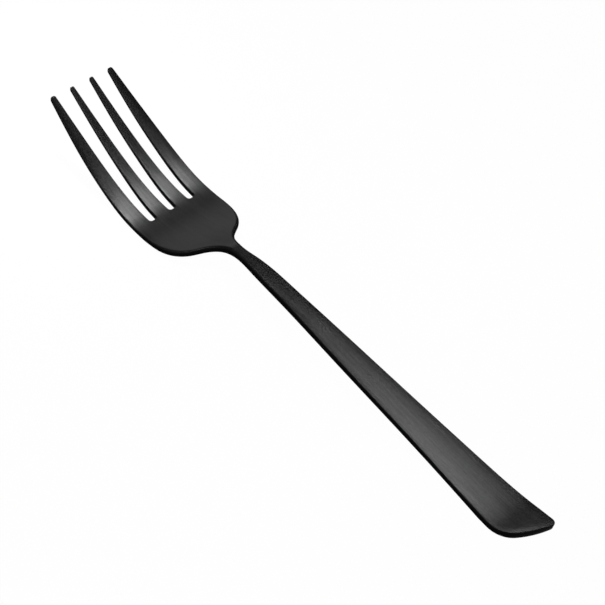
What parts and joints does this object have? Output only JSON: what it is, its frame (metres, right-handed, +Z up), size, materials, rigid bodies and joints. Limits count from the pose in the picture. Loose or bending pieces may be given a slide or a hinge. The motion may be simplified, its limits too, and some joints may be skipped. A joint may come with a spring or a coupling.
{
  "type": "dinner fork",
  "caption": "Slim dinner fork with tapering tines, narrow neck and a flat handle that widens to a slanted end; satin black coated steel.",
  "frame": {"origin": "middle of the fork's box in plan, on the table that its handle end and bowl rest on", "axes": "+Y from the handle's end to the tine tips, +X to the fork's right seen from above with the tines ahead, +Z up with the tines curving upward"},
  "size_m": [0.0302, 0.2, 0.0203],
  "materials": {
    "coated_steel": "satin lengthwise brushed stainless steel under a thin black vapour-deposited coating"
  },
  "bodies": {
    "root": {"fork": "coated_steel"}
  },
  "joints": []
}
